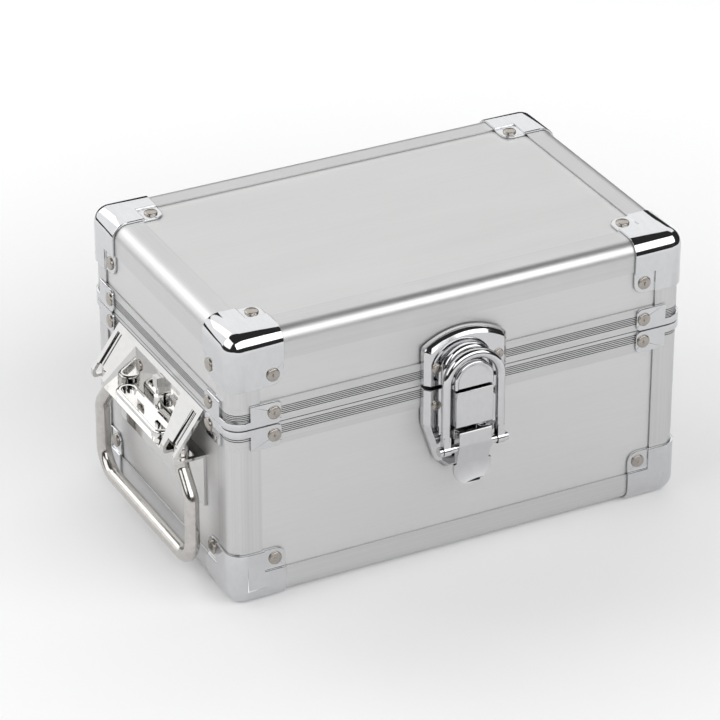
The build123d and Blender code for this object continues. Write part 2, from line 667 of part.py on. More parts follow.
def socket(x, size):
    """A six-point socket that stands on its drive end, its mouth up."""
    wide = socket_radius(size)
    narrow = 6.0
    z0 = SOCKET_FLOOR
    z1 = z0 + SOCKET_H
    body = rod((x, SOCKET_Y, z0), (x, SOCKET_Y, z1), max(wide, narrow))
    if wide < narrow:
        waist = rod((x, SOCKET_Y, z0 + 12), (x, SOCKET_Y, z1 + 1), narrow + 1)
        waist -= rod((x, SOCKET_Y, z0 + 11), (x, SOCKET_Y, z1 + 2), wide)
        body -= waist
    ends = pick(body, lambda e: (e @ 0.5).Z > z1 - 0.01 or (e @ 0.5).Z < z0 + 0.01)
    body = chamfer(ends, 0.5)
    place = Pos(x, SOCKET_Y)
    mouth = RegularPolygon(size / 2 + 0.05, 6, major_radius=False)
    body -= extrude(Plane.XY.offset(z1 - 12) * (place * mouth), 13)
    body -= rod((x, SOCKET_Y, z0 + 5), (x, SOCKET_Y, z1 - 5), 2.6)
    body -= extrude(Plane.XY.offset(z0 - 1) * (place * Rectangle(DRIVE + 0.1, DRIVE + 0.1)), 9)
    return body


RATCHET_END = -86.0
GRIP_START = -6.0
GRIP_R = 11.0
HEAD_R = 13.0
HEAD_LOW = TOOL_Z - 5.5
HEAD_TOP = TOOL_Z + 5.5
GEAR_R = 8.6
GEAR_TEETH = 36
CHAMBER_R = 9.2
BOSS_R = 6.3


def ratchet_body():
    """Pear-shaped head, round shank and the core that the grip is moulded on."""
    y = RATCHET_Y
    head = rod((HEAD_X, y, HEAD_LOW), (HEAD_X, y, HEAD_TOP), HEAD_R)
    neck = [(HEAD_X - 3, y - HEAD_R + 0.4), (HEAD_X - 3, y + HEAD_R - 0.4), (34.0, y + 5.0),
            (34.0, y - 5.0)]
    head += slab(neck, Plane.XY.offset(HEAD_LOW), HEAD_TOP - HEAD_LOW)
    rims = pick(head, lambda e: abs((e @ 0.5).Z - HEAD_LOW) < 0.01 or abs((e @ 0.5).Z - HEAD_TOP) < 0.01)
    head = chamfer(rims, 0.8)
    shank = rod((38.0, y, TOOL_Z), (GRIP_START, y, TOOL_Z), 4.6)
    core = rod((GRIP_START, y, TOOL_Z), (RATCHET_END + 14, y, TOOL_Z), 3.6)
    body = head + shank + core
    body -= rod((HEAD_X, y, HEAD_LOW + 2.2), (HEAD_X, y, HEAD_TOP + 1), CHAMBER_R)
    body -= rod((PAWL_X, y, HEAD_LOW + 2.2), (PAWL_X, y, HEAD_TOP + 1), 5.0)
    body -= rod((HEAD_X, y, HEAD_LOW - 1), (HEAD_X, y, HEAD_TOP), BOSS_R + RUN_CLEAR)
    return body - ratchet_cover()


def ratchet_cover():
    """Plate that closes the head over the gear and the pawl."""
    y = RATCHET_Y
    low = HEAD_TOP - 1.6
    cover = rod((HEAD_X, y, low), (HEAD_X, y, HEAD_TOP), 10.4)
    cover += rod((PAWL_X, y, low), (PAWL_X, y, HEAD_TOP), 6.2)
    cover += block(PAWL_X, HEAD_X, y - 6.2, y + 6.2, low, HEAD_TOP)
    return cover


def bored_cover():
    """The cover with the hole for the selector's spindle."""
    y = RATCHET_Y
    return ratchet_cover() - rod((PAWL_X, y, HEAD_LOW), (PAWL_X, y, HEAD_TOP + 1), 2.0 + RUN_CLEAR)


def ratchet_gear():
    """Toothed wheel with the square drive below it."""
    y = RATCHET_Y
    low = HEAD_LOW + 2.4
    high = HEAD_TOP - 1.8
    step = 2 * math.pi / GEAR_TEETH
    outline = []
    for i in range(GEAR_TEETH):
        for turn, radius in ((0.0, GEAR_R), (0.5, GEAR_R - 0.55)):
            angle = (i + turn) * step
            outline.append((HEAD_X + radius * math.cos(angle), y + radius * math.sin(angle)))
    wheel = slab(outline, Plane.XY.offset(low), high - low)
    wheel += rod((HEAD_X, y, HEAD_LOW - 0.8), (HEAD_X, y, low), BOSS_R)
    tip = HEAD_LOW - 9.3
    square = block(HEAD_X - DRIVE / 2, HEAD_X + DRIVE / 2, y - DRIVE / 2, y + DRIVE / 2, tip, HEAD_LOW)
    ends = pick(square, lambda e: (e @ 0.5).Z < tip + 0.01)
    square = chamfer(ends, 0.7)
    side = HEAD_X + DRIVE / 2
    ball = rod((side - 0.5, y, tip + 3.6), (side + 0.35, y, tip + 3.6), 1.1)
    return wheel + square + ball


def ratchet_pawl():
    y = RATCHET_Y
    low = HEAD_LOW + 2.5
    high = HEAD_TOP - 2.0
    return rod((PAWL_X, y, low), (PAWL_X, y, high), 4.2)


def ratchet_selector():
    """Direction lever on top of the head, on the pawl's spindle."""
    y = RATCHET_Y
    spindle = rod((PAWL_X, y, HEAD_TOP - 2.0), (PAWL_X, y, HEAD_TOP + 0.3), 2.0)
    low = HEAD_TOP + 0.3
    disc = rod((PAWL_X, y, low), (PAWL_X, y, low + 2.2), 4.6)
    arm = slab([(PAWL_X, y - 3.6), (PAWL_X, y + 3.6), (PAWL_X - 12, y + 2.6), (PAWL_X - 12, y - 2.6)],
               Plane.XY.offset(low), 2.2)
    pad = block(PAWL_X - 13.5, PAWL_X - 10.5, y - 4.0, y + 4.0, low, low + 3.2)
    return spindle + disc + arm + pad


def moulded_grip(y, x0, x1, radius, bore, depth):
    """A moulded handle with finger grooves; bored for the steel that it is moulded on."""
    grip = rod((x0, y, TOOL_Z), (x1, y, TOOL_Z), radius)
    ends = pick(grip, lambda e: abs((e @ 0.5).X - x0) < 0.1 or abs((e @ 0.5).X - x1) < 0.1)
    grip = fillet(ends, 4.0)
    flutes = 6
    for i in range(flutes):
        angle = 2 * math.pi * i / flutes
        fy = y + (radius + 3.2) * math.cos(angle)
        fz = TOOL_Z + (radius + 3.2) * math.sin(angle)
        grip -= rod((x0 + 12, fy, fz), (x1 - 8, fy, fz), 4.4)
    return grip - rod((x1 - depth, y, TOOL_Z), (x1 + 1, y, TOOL_Z), bore)


def extension_bar():
    y = BAR_Y
    bar = rod((-78, y, TOOL_Z), (-60, y, TOOL_Z), 6.0) + rod((-60, y, TOOL_Z), (16, y, TOOL_Z), 4.2)
    bar += rod((14, y, TOOL_Z), (20, y, TOOL_Z), 5.6)
    half = DRIVE / 2
    bar += block(20, 28, y - half, y + half, TOOL_Z - half, TOOL_Z + half)
    hole = half + 0.05
    return bar - block(-79, -69, y - hole, y + hole, TOOL_Z - hole, TOOL_Z + hole)


def spinner_shaft():
    y = SPINNER_Y
    half = DRIVE / 2
    shaft = rod((-44, y, TOOL_Z), (48, y, TOOL_Z), 4.0) + rod((44, y, TOOL_Z), (50, y, TOOL_Z), 5.4)
    return shaft + block(50, 58, y - half, y + half, TOOL_Z - half, TOOL_Z + half)


def lid_foam():
    """Foam pad glued inside the lid's top."""
    high = SHELL_TOP - WALL_T - 0.3
    pad = rounded_prism(FOAM_X, FOAM_Y, EDGE_R - WALL_T - 0.4, high - 12.0, high)
    return chamfer(pick(pad, lambda e: (e @ 0.5).Z > high - 0.01), FOAM_CUT)


def tool_foam():
    """Foam block that fills the base, with a pocket for each tool and an open bin."""
    foam = rounded_prism(FOAM_X, FOAM_Y, EDGE_R - WALL_T - 0.4, FOAM_LOW, FOAM_TOP)
    foam = chamfer(pick(foam, lambda e: (e @ 0.5).Z < FOAM_LOW + 0.01), FOAM_CUT)
    clear = 0.6
    floor = TOOL_Z - GRIP_R - 0.1
    y = RATCHET_Y
    foam -= block(RATCHET_END - 2, 40, y - GRIP_R - clear, y + GRIP_R + clear, floor, 60)
    foam -= block(30, 80, y - HEAD_R - 1.2, y + HEAD_R + 1.2, HEAD_LOW - 0.9, 60)
    foam -= rod((HEAD_X, y, 38.0), (HEAD_X, y, 50), 8.0)
    y = SPINNER_Y
    foam -= block(-88, 2, y - 12.6, y + 12.6, TOOL_Z - 12.1, 60)
    foam -= block(0, 60, y - 7.0, y + 7.0, TOOL_Z - 5.5, 60)
    y = BAR_Y
    foam -= block(-80, 30, y - 6.6, y + 6.6, TOOL_Z - 6.1, 60)
    for x, size in socket_places():
        reach = max(socket_radius(size), 6.0) + 0.5
        foam -= rod((x, SOCKET_Y, SOCKET_FLOOR), (x, SOCKET_Y, 60), reach)
    bin_room = block(66, 90, -31, 15, 26.0, 60)
    upright = pick(bin_room, lambda e: abs((e @ 0).Z - (e @ 1).Z) > 5)
    return foam - fillet(upright, 4.0)


# ---- assembly -----------------------------------------------------------------------------
def main():
    os.makedirs("parts", exist_ok=True)
    lid_rivets = corner_rivets(CASE_H, CASE_H - RIVET_IN, LID_CLIP_RIVET_Z, True)
    base_rivets = corner_rivets(0, RIVET_IN, BASE_CLIP_RIVET_Z, False)
    lid_leaf_rivets = leaf_rivets(1)
    base_leaf_rivets = leaf_rivets(-1)
    keeper_rivets = latch_rivets(KEEPER_RIVET_Z)
    plate_rivets = latch_rivets(PLATE_RIVET_Z)
    end_rivets = bracket_rivets()
    lid_fitting_rivets = lid_leaf_rivets + keeper_rivets
    base_fitting_rivets = base_leaf_rivets + plate_rivets + end_rivets

    def drilled(shape, *groups):
        for group in groups:
            for piece in group:
                shape = shape - piece
        return shape

    half_x = SHELL_X - SLOT_AT
    half_y = SHELL_Y - SLOT_AT
    top = SHELL_TOP - SKIN_T
    low = SHELL_LOW + SKIN_T
    lid_seat = LID_BAND_TOP - BAND_SEAT
    base_seat = BASE_BAND_LOW + BAND_SEAT

    # lid
    write("lid_top_panel", drilled(block(-half_x, half_x, -half_y, half_y, top - PANEL_T, top), lid_rivets))
    for name, panel in side_panels(lid_seat, SHELL_TOP - SLOT_AT).items():
        write(f"lid_{name}_panel", drilled(panel, lid_rivets, lid_fitting_rivets))
    for name, piece in horizontal_profiles(SHELL_TOP, -1).items():
        write(f"lid_{name}_edge", piece)
    write("lid_corner_posts", as_one(corner_posts(LID_BAND_TOP, SHELL_TOP - LEG)))
    band = rim_band(LID_LOW, LID_BAND_TOP, LID_RIBS, lid_seat, LID_BAND_TOP + 1)
    band -= ring(TONGUE_IN - 0.3, WALL_T + 0.5, LID_LOW - 1, SPLIT_Z + TONGUE_H + 0.5)
    write("lid_rim_band", drilled(band, lid_rivets, lid_fitting_rivets))
    clips = [band_clip(sx, sy, LID_LOW, LID_BAND_TOP, LID_LOW, LID_LOW + CLIP_STRIP) for sx, sy in CORNERS]
    write("lid_band_clips", drilled(as_one(clips), lid_rivets))
    for sx, sy in CORNERS:
        name = ("front" if sy < 0 else "back") + ("_left" if sx < 0 else "_right")
        write(f"lid_cap_{name}", drilled(corner_cap(sx, sy, True), lid_rivets))
        write(f"base_cap_{name}", drilled(corner_cap(sx, sy, False), base_rivets))
    write("lid_rivets", as_one(lid_rivets))
    write("lid_fitting_rivets", as_one(lid_fitting_rivets))
    write("lid_foam", lid_foam())

    # base
    bottom = block(-half_x, half_x, -half_y, half_y, low, low + PANEL_T)
    field = rounded_prism(70.0, 35.0, 6.0, 0.0, low)
    field -= rounded_prism(70.0 - PANEL_T, 35.0 - PANEL_T, 5.0, PANEL_T, low + 1)
    room = rounded_prism(70.0 - PANEL_T, 35.0 - PANEL_T, 5.0, PANEL_T, low + PANEL_T + 1)
    write("base_bottom_panel", drilled((bottom - room) + field, base_rivets))
    for name, panel in side_panels(SHELL_LOW + SLOT_AT, base_seat).items():
        write(f"base_{name}_panel", drilled(panel, base_rivets, base_fitting_rivets))
    write("base_edges", as_one(horizontal_profiles(SHELL_LOW, 1).values()))
    write("base_corner_posts", as_one(corner_posts(SHELL_LOW + LEG, BASE_BAND_LOW)))
    band = rim_band(BASE_BAND_LOW, BASE_TOP, BASE_RIBS, BASE_BAND_LOW - 1, base_seat)
    band += ring(TONGUE_IN, WALL_T - 0.2, BASE_TOP - 1, SPLIT_Z + TONGUE_H)
    write("base_rim_band", drilled(band, base_rivets, base_fitting_rivets))
    clips = [band_clip(sx, sy, BASE_BAND_LOW, BASE_TOP, BASE_TOP - CLIP_STRIP, BASE_TOP)
             for sx, sy in CORNERS]
    write("base_band_clips", drilled(as_one(clips), base_rivets))
    write("base_rivets", as_one(base_rivets))
    write("base_fitting_rivets", as_one(base_fitting_rivets))
    write("tool_foam", tool_foam())

    # hinges
    for name, hx in (("left", -HINGE_X), ("right", HINGE_X)):
        write(f"hinge_{name}_lid_leaf", drilled(hinge_leaf(hx, 1), lid_leaf_rivets))
        write(f"hinge_{name}_base_leaf", drilled(hinge_leaf(hx, -1), base_leaf_rivets))
    write("hinge_pins", as_one(hinge_pins()))

    # latch
    write("latch_keeper", drilled(latch_keeper(), keeper_rivets))
    write("latch_base_plate", drilled(latch_base(), plate_rivets))
    write("latch_lever", latch_lever())
    write("latch_lever_pin", lever_pin())
    write("latch_loop", latch_loop())
    write("latch_loop_pin", loop_pin())

    # handle
    write("handle_bracket", drilled(handle_bracket(), end_rivets))
    write("handle_bracket_clip", bracket_clip())
    write("handle_bail", handle_bail())

    # contents
    places = socket_places()
    half = len(places) // 2
    write("sockets_small", as_one([socket(*place) for place in places[:half]]))
    write("sockets_large", as_one([socket(*place) for place in places[half:]]))
    write("ratchet_body", ratchet_body())
    write("ratchet_cover", bored_cover())
    write("ratchet_gear", ratchet_gear())
    write("ratchet_pawl", ratchet_pawl())
    write("ratchet_selector", ratchet_selector())
    write("ratchet_grip", moulded_grip(RATCHET_Y, RATCHET_END, GRIP_START, GRIP_R, 3.6, 66.0))
    write("extension_bar", extension_bar())
    write("spinner_shaft", spinner_shaft())
    write("spinner_grip", moulded_grip(SPINNER_Y, -86.0, -4.0, 12.0, 4.0, 40.0))


main()
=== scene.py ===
import math

import bmesh
import bpy
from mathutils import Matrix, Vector


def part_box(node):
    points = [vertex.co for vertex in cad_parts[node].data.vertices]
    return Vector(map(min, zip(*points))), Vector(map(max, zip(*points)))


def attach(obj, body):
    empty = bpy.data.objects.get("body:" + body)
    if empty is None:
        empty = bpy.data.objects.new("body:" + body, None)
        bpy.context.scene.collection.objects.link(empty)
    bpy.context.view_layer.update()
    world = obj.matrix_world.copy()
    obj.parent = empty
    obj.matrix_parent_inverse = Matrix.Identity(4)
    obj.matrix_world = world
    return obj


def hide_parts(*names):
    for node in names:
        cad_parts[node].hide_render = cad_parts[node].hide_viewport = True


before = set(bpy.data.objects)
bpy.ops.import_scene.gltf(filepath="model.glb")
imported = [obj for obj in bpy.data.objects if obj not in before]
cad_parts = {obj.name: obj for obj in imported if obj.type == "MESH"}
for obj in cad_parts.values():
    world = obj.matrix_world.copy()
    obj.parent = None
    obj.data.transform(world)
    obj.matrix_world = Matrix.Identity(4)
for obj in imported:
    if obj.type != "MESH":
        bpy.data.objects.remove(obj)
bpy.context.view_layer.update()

# Metres. X runs along the front, Y from the front to the back, Z up, as in the CAD model.

# ---- camera -------------------------------------------------------------------------------
CAMERA_AT = Vector((-0.64407, -1.24061, 0.83382))
CAMERA_AZIMUTH = math.radians(-27.015)
CAMERA_ELEVATION = math.radians(29.158)
CAMERA_LENS = 198.56

# ---- studio -------------------------------------------------------------------------------
TARGET = Vector((0.0, 0.0, 0.06))
TABLE_WHITE = (0.86, 0.86, 0.865)
SHADE_INNER = 0.12  # the table glows less inside this distance from the middle
SHADE_OUTER = 0.40
SHADE_SHARE = 0.35
FLOOR_NEAR = 0.62  # half-width of the white table that the metal reflects
FLOOR_FAR = 14.0
ROOM_LEVEL = 0.035  # the unlit room, as the metal sees it

# ---- details ------------------------------------------------------------------------------
SEAM_REACH = 0.0011  # gaps narrower than this get painted shade
# colours of the painted shade in the seams of panels and profiles
SEAM_PAINTED_SHADE_PANEL = (0.16, 0.16, 0.16)
SEAM_PAINTED_SHADE_PROFILE = (0.10, 0.10, 0.10)
EDGE_ROUND = 0.00022  # radius of a deburred sheet edge
EDGE_ANGLE = math.radians(50)  # edges sharper than this are rounded
WELD_REACH = 0.000005
HOOK_HALF = 0.0087  # the latch hook: half its width, and the places of its faces
HOOK_FRONT = -0.0750
HOOK_BACK = -0.0712
HOOK_LOW = 0.0793
HOOK_MIDDLE = 0.0819  # centre of its half-round top
HOOK_STEPS = 32
HOOK_ROUND = 0.0003
FOAM_VOXEL = 0.0016
EGG_PITCH = 0.0150  # egg-crate foam: spacing and height of its peaks
EGG_HEIGHT = 0.0052
EGG_COLUMNS = 144
EGG_ROWS = 92
EGG_RIM = 0.004  # the pad's lower edge is rounded over this width, and rises by this height
EGG_RIM_RISE = 0.0025


# ---- small helpers ------------------------------------------------------------------------
def polar(azimuth, elevation, distance):
    """A point seen from the target; azimuth 0 is in front, at -Y, and 90 is at +X."""
    a = math.radians(azimuth)
    e = math.radians(elevation)
    way = Vector((math.sin(a) * math.cos(e), -math.cos(a) * math.cos(e), math.sin(e)))
    return TARGET + way * distance


def link(obj):
    bpy.context.scene.collection.objects.link(obj)
    return obj


def new_mesh(name, bm, smooth=True):
    mesh = bpy.data.meshes.new(name)
    bm.to_mesh(mesh)
    bm.free()
    for face in mesh.polygons:
        face.use_smooth = smooth
    return link(bpy.data.objects.new(name, mesh))


# ---- node helpers -------------------------------------------------------------------------
class Nodes:
    """Builds one material: a Principled shader, object coordinates and a few node shorthands."""

    def __init__(self, name, color, metallic, roughness, **inputs):
        self.material = bpy.data.materials.new(name)
        self.material.use_nodes = True
        self.tree = self.material.node_tree
        self.shader = self.tree.nodes["Principled BSDF"]
        self.material.diffuse_color = (*color, 1.0)
        self.shader.inputs["Base Color"].default_value = (*color, 1.0)
        self.shader.inputs["Metallic"].default_value = metallic
        self.shader.inputs["Roughness"].default_value = roughness
        for key, value in inputs.items():
            self.shader.inputs[key.replace("_", " ")].default_value = value
        self.coords = self.tree.nodes.new("ShaderNodeTexCoord").outputs["Object"]

    def node(self, kind, **settings):
        made = self.tree.nodes.new("ShaderNode" + kind)
        for key, value in settings.items():
            setattr(made, key, value)
        return made

    def join(self, source, target):
        self.tree.links.new(source, target)

    def scaled(self, scale):
        """Object coordinates stretched by a vector."""
        mapping = self.node("Mapping")
        mapping.inputs["Scale"].default_value = scale
        self.join(self.coords, mapping.inputs["Vector"])
        return mapping.outputs["Vector"]

    def noise(self, scale, size=1.0, detail=3.0, rough=0.5):
        """Noise over coordinates stretched by a vector."""
        made = self.node("TexNoise")
        made.inputs["Scale"].default_value = size
        made.inputs["Detail"].default_value = detail
        made.inputs["Roughness"].default_value = rough
        self.join(self.scaled(scale), made.inputs["Vector"])
        return made.outputs["Fac"]

    def remap(self, value, low, high, from_low=0.3, from_high=0.7):
        made = self.node("MapRange")
        made.inputs["From Min"].default_value = from_low
        made.inputs["From Max"].default_value = from_high
        made.inputs["To Min"].default_value = low
        made.inputs["To Max"].default_value = high
        self.join(value, made.inputs["Value"])
        return made.outputs["Result"]

    def blend(self, value, low, high):
        """Two colours blended by a value."""
        made = self.node("ValToRGB")
        made.color_ramp.elements[0].color = (*low, 1.0)
        made.color_ramp.elements[1].color = (*high, 1.0)
        made.color_ramp.elements[0].position = 0.3
        made.color_ramp.elements[1].position = 0.7
        self.join(value, made.inputs["Fac"])
        return made.outputs["Color"]

    def math(self, operation, a, b):
        made = self.node("Math", operation=operation)
        for socket, value in zip(made.inputs, (a, b)):
            if isinstance(value, (int, float)):
                socket.default_value = value
            else:
                self.join(value, socket)
        return made.outputs["Value"]

    def color(self, source):
        self.join(source, self.shader.inputs["Base Color"])

    def roughness(self, source):
        self.join(source, self.shader.inputs["Roughness"])

    def painted_crevice_shade(self, color, dark, reach):
        """A colour with painted shade that darkens gaps and creases narrower than the reach."""
        hollow = self.node("AmbientOcclusion", samples=6)
        hollow.inputs["Distance"].default_value = reach
        made = self.node("MixRGB", blend_type="MIX")
        self.join(self.remap(hollow.outputs["AO"], 0.0, 1.0, 0.25, 0.75), made.inputs["Fac"])
        made.inputs["Color1"].default_value = (*dark, 1.0)
        self.join(color, made.inputs["Color2"])
        return made.outputs["Color"]

    def bump(self, height, strength, distance, before=None):
        made = self.node("Bump")
        made.inputs["Strength"].default_value = strength
        made.inputs["Distance"].default_value = distance
        self.join(height, made.inputs["Height"])
        if before is not None:
            self.join(before, made.inputs["Normal"])
        self.join(made.outputs["Normal"], self.shader.inputs["Normal"])
        return made.outputs["Normal"]


# ---- materials ----------------------------------------------------------------------------
def brushed_panel(name, along):
    """Satin sheet aluminium with a fine brushed grain along one axis."""
    nodes = Nodes(name, (0.70, 0.695, 0.69), 1.0, 0.5)
    grain = [900.0, 900.0, 900.0]
    grain[along] = 30.0
    broad = [60.0, 60.0, 60.0]
    broad[along] = 12.0
    fine = nodes.noise(grain, detail=4.0, rough=0.6)
    wide = nodes.noise(broad, detail=2.0)
    tint = nodes.blend(fine, (0.685, 0.68, 0.677), (0.712, 0.708, 0.706))
    # painted shade darkens the panel's colour in seams and creases
    nodes.color(nodes.painted_crevice_shade(tint, SEAM_PAINTED_SHADE_PANEL, SEAM_REACH))
    nodes.roughness(nodes.remap(nodes.math("ADD", fine, wide), 0.47, 0.56, 0.7, 1.3))
    nodes.bump(fine, 0.16, 0.00005)
    return nodes.material


def satin_profile(name, along):
    """Extruded, anodised aluminium: smooth, with faint drawing lines along its length."""
    nodes = Nodes(name, (0.62, 0.62, 0.62), 1.0, 0.43)
    lines = [1400.0, 1400.0, 1400.0]
    lines[along] = 3.0
    clouds = [30.0, 30.0, 30.0]
    drawn = nodes.noise(lines, detail=2.0)
    cloudy = nodes.noise(clouds, detail=3.0)
    tint = nodes.blend(drawn, (0.60, 0.60, 0.60), (0.64, 0.64, 0.642))
    # painted shade darkens the profile's colour in seams and creases
    nodes.color(nodes.painted_crevice_shade(tint, SEAM_PAINTED_SHADE_PROFILE, SEAM_REACH))
    nodes.roughness(nodes.remap(cloudy, 0.40, 0.46))
    nodes.bump(drawn, 0.12, 0.00004)
    return nodes.material


def chrome(name, color, roughness=0.05, wave=0.00025):
    """Polished plating: faint waviness from pressing, and a few dull smears."""
    nodes = Nodes(name, color, 1.0, roughness)
    wavy = nodes.noise((90.0, 90.0, 90.0), detail=1.0)
    smear = nodes.noise((420.0, 160.0, 300.0), detail=4.0, rough=0.65)
    dulled = tuple(0.94 * c for c in color)
    nodes.color(nodes.blend(smear, dulled, color))
    nodes.roughness(nodes.remap(smear, roughness, roughness + 0.07, 0.45, 0.75))
    nodes.bump(wavy, 0.3, wave)
    return nodes.material


def satin_nickel(name, color, roughness, along=None):
    """Warm nickel plating with fine scratches."""
    nodes = Nodes(name, color, 1.0, roughness)
    scratch = [2600.0, 2600.0, 2600.0]
    if along is not None:
        scratch[along] = 160.0
    fine = nodes.noise(scratch, detail=3.0, rough=0.6)
    patchy = nodes.noise((500.0, 500.0, 500.0), detail=2.0)
    darker = tuple(0.88 * c for c in color)
    nodes.color(nodes.blend(patchy, darker, color))
    nodes.roughness(nodes.remap(fine, roughness - 0.05, roughness + 0.08))
    nodes.bump(fine, 0.15, 0.00003)
    return nodes.material


def soft_foam(name, color):
    """Closed-cell foam: matt, with a fine open grain on its skin."""
    nodes = Nodes(name, color, 0.0, 0.92, Specular_IOR_Level=0.25)
    cells = nodes.node("TexVoronoi")
    cells.inputs["Scale"].default_value = 1500.0
    nodes.join(nodes.coords, cells.inputs["Vector"])
    shade = nodes.noise((240.0, 240.0, 240.0), detail=4.0, rough=0.7)
    lighter = tuple(1.55 * c for c in color)
    nodes.color(nodes.blend(shade, color, lighter))
    nodes.roughness(nodes.remap(shade, 0.85, 0.97))
    nodes.bump(cells.outputs["Distance"], 0.5, 0.0004)
    return nodes.material


def moulded_plastic(name, color):
    """Moulded grip plastic with a fine spark-eroded texture."""
    nodes = Nodes(name, color, 0.0, 0.42)
    grain = nodes.noise((2400.0, 2400.0, 2400.0), detail=3.0, rough=0.6)
    shade = nodes.noise((70.0, 70.0, 70.0), detail=2.0)
    nodes.color(nodes.blend(shade, tuple(0.85 * c for c in color), color))
    nodes.roughness(nodes.remap(shade, 0.36, 0.5))
    nodes.bump(grain, 0.25, 0.00006)
    return nodes.material


MATERIALS = {
    "panel_x": brushed_panel("panel_brushed_along_x", 0),
    "panel_y": brushed_panel("panel_brushed_along_y", 1),
    "profile_x": satin_profile("profile_drawn_along_x", 0),
    "profile_y": satin_profile("profile_drawn_along_y", 1),
    "profile_z": satin_profile("profile_drawn_along_z", 2),
    "cap": chrome("cap_chrome", (0.62, 0.625, 0.635)),
    "rivet": satin_nickel("rivet_nickel", (0.42, 0.39, 0.355), 0.26),
    "hinge": satin_nickel("hinge_zinc", (0.66, 0.66, 0.66), 0.30),
    "latch": chrome("latch_chrome", (0.62, 0.62, 0.63), 0.06),
    "bracket": chrome("bracket_chrome", (0.66, 0.655, 0.645), 0.06),
    "bail": satin_nickel("bail_nickel", (0.60, 0.58, 0.555), 0.17),
    "foam": soft_foam("foam_black", (0.018, 0.018, 0.02)),
    "tool": chrome("tool_chrome", (0.70, 0.70, 0.71), 0.09),
    "selector": moulded_plastic("selector_black", (0.02, 0.02, 0.02)),
    "grip": moulded_plastic("grip_red", (0.36, 0.016, 0.014)),
}

# which material each CAD node wears, by the start of its name; the first match counts
FINISHES = (
    ("lid_top_panel", "panel_x"), ("base_bottom_panel", "panel_x"),
    ("lid_front_panel", "panel_x"), ("lid_back_panel", "panel_x"),
    ("base_front_panel", "panel_x"), ("base_back_panel", "panel_x"),
    ("lid_left_panel", "panel_y"), ("lid_right_panel", "panel_y"),
    ("base_left_panel", "panel_y"), ("base_right_panel", "panel_y"),
    ("lid_front_edge", "profile_x"), ("lid_back_edge", "profile_x"),
    ("lid_left_edge", "profile_y"), ("lid_right_edge", "profile_y"),
    ("base_edges", "profile_x"), ("lid_corner_posts", "profile_z"), ("base_corner_posts", "profile_z"),
    ("lid_rim_band", "profile_x"), ("base_rim_band", "profile_x"),
    ("lid_band_clips", "cap"), ("base_band_clips", "cap"), ("lid_cap", "cap"), ("base_cap", "cap"),
    ("lid_rivets", "rivet"), ("base_rivets", "rivet"),
    ("lid_fitting_rivets", "rivet"), ("base_fitting_rivets", "rivet"),
    ("hinge", "hinge"), ("latch_lever_pin", "rivet"), ("latch", "latch"),
    ("handle_bracket", "bracket"), ("handle_bail", "bail"),
    ("sockets", "tool"), ("extension_bar", "tool"), ("spinner_shaft", "tool"),
    ("ratchet_grip", "grip"), ("spinner_grip", "grip"), ("ratchet_selector", "selector"),
    ("ratchet", "tool"),
    ("lid_foam", "foam"), ("tool_foam", "foam"),
)


def finish_of(node):
    for start, finish in FINISHES:
        if node.startswith(start):
            return finish
    raise ValueError(f"no finish for {node}")


def dress(obj, finish):
    obj.data.materials.clear()
    obj.data.materials.append(MATERIALS[finish])


def dress_cad_nodes():
    for name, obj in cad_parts.items():
        dress(obj, finish_of(name))


# ---- edges --------------------------------------------------------------------------------
ROUNDED = ("lid_cap", "base_cap", "lid_band_clips", "base_band_clips", "latch_base_plate", "latch_keeper",
           "latch_lever", "handle_bracket", "hinge")


def round_edges():
    """Sheet metal has deburred edges that catch the light."""
    for name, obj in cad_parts.items():
        if name.startswith(ROUNDED):
            weld = obj.modifiers.new("weld", "WELD")
            weld.merge_threshold = WELD_REACH
            bevel = obj.modifiers.new("deburred", "BEVEL")
            bevel.width = EDGE_ROUND
            bevel.segments = 2
            bevel.limit_method = "ANGLE"
            bevel.angle_limit = EDGE_ANGLE


# ---- latch hook ---------------------------------------------------------------------------
def hook_loop(inset, y):
    """Points round the hook's outline, from its lower left up and over to its lower right."""
    r = HOOK_HALF - inset
    points = [Vector((-r, y, HOOK_LOW))]
    for i in range(HOOK_STEPS + 1):
        a = math.pi * (1 - i / HOOK_STEPS)
        points.append(Vector((r * math.cos(a), y, HOOK_MIDDLE + r * math.sin(a))))
    points.append(Vector((r, y, HOOK_LOW)))
    return points


def latch_hook():
    """The keeper's hook: a D-shaped plate with a rolled rim, which the wire loop closes over."""
    face = HOOK_FRONT + 0.0006
    section = [(0.0, HOOK_BACK), (0.0, HOOK_FRONT + 0.0014), (0.00015, HOOK_FRONT + 0.0007),
               (0.0005, HOOK_FRONT + 0.0002), (0.0010, HOOK_FRONT), (0.0015, HOOK_FRONT + 0.0002),
               (0.0019, face - 0.0001), (0.0023, face)]
    bm = bmesh.new()
    rows = [[bm.verts.new(p) for p in hook_loop(inset, y)] for inset, y in section]
    for outer, inner in zip(rows, rows[1:]):
        for i in range(len(outer) - 1):
            bm.faces.new((outer[i], outer[i + 1], inner[i + 1], inner[i]))
    bm.faces.new(rows[-1])
    bm.faces.new(rows[0][::-1])
    bm.faces.new([row[0] for row in rows] + [row[-1] for row in reversed(rows)])
    bmesh.ops.recalc_face_normals(bm, faces=bm.faces)
    hook = new_mesh("latch_hook", bm)
    edges = hook.modifiers.new("edges", "BEVEL")
    edges.width = HOOK_ROUND
    edges.segments = 2
    edges.angle_limit = EDGE_ANGLE
    hook.modifiers.new("flat", "WEIGHTED_NORMAL")
    dress(hook, "latch")
    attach(hook, "lid")


